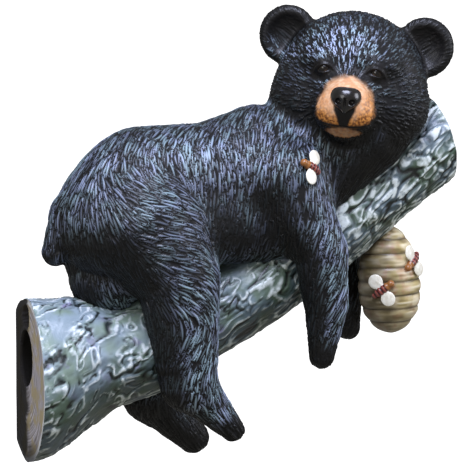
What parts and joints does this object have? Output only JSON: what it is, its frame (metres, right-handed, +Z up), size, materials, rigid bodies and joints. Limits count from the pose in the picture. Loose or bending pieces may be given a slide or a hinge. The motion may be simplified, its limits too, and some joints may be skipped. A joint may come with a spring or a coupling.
{
  "type": "bear statue",
  "caption": "Bear cub lying over a cut branch with a coiled beehive and bees, fixed to a tree or wall by the branch's flat cut face",
  "frame": {"origin": "on the branch's flat vertical cut face at its thick end, on the solid wood under the hollow", "axes": "+Z up, +X out of the cut face's plane along the branch's run, the bear's near side and its face towards -Y"},
  "size_m": [0.4108, 0.1873, 0.4194],
  "materials": {
    "bark_resin": "painted cast resin bark, grey-green with silver dry-brushed ridges",
    "bear_resin": "glossy black painted cast resin fur with grey-blue dry brushing and a tan muzzle",
    "hive_resin": "straw-coloured painted cast resin with an olive wash in the grooves",
    "bee_resin": "painted cast resin, brown bodies and cream wings"
  },
  "bodies": {
    "root": {"branch": "bark_resin", "bear": "bear_resin", "beehive": "hive_resin", "bee_on_shoulder": "bee_resin", "bee_front_of_hive": "bee_resin", "bee_side_of_hive": "bee_resin"}
  },
  "joints": []
}
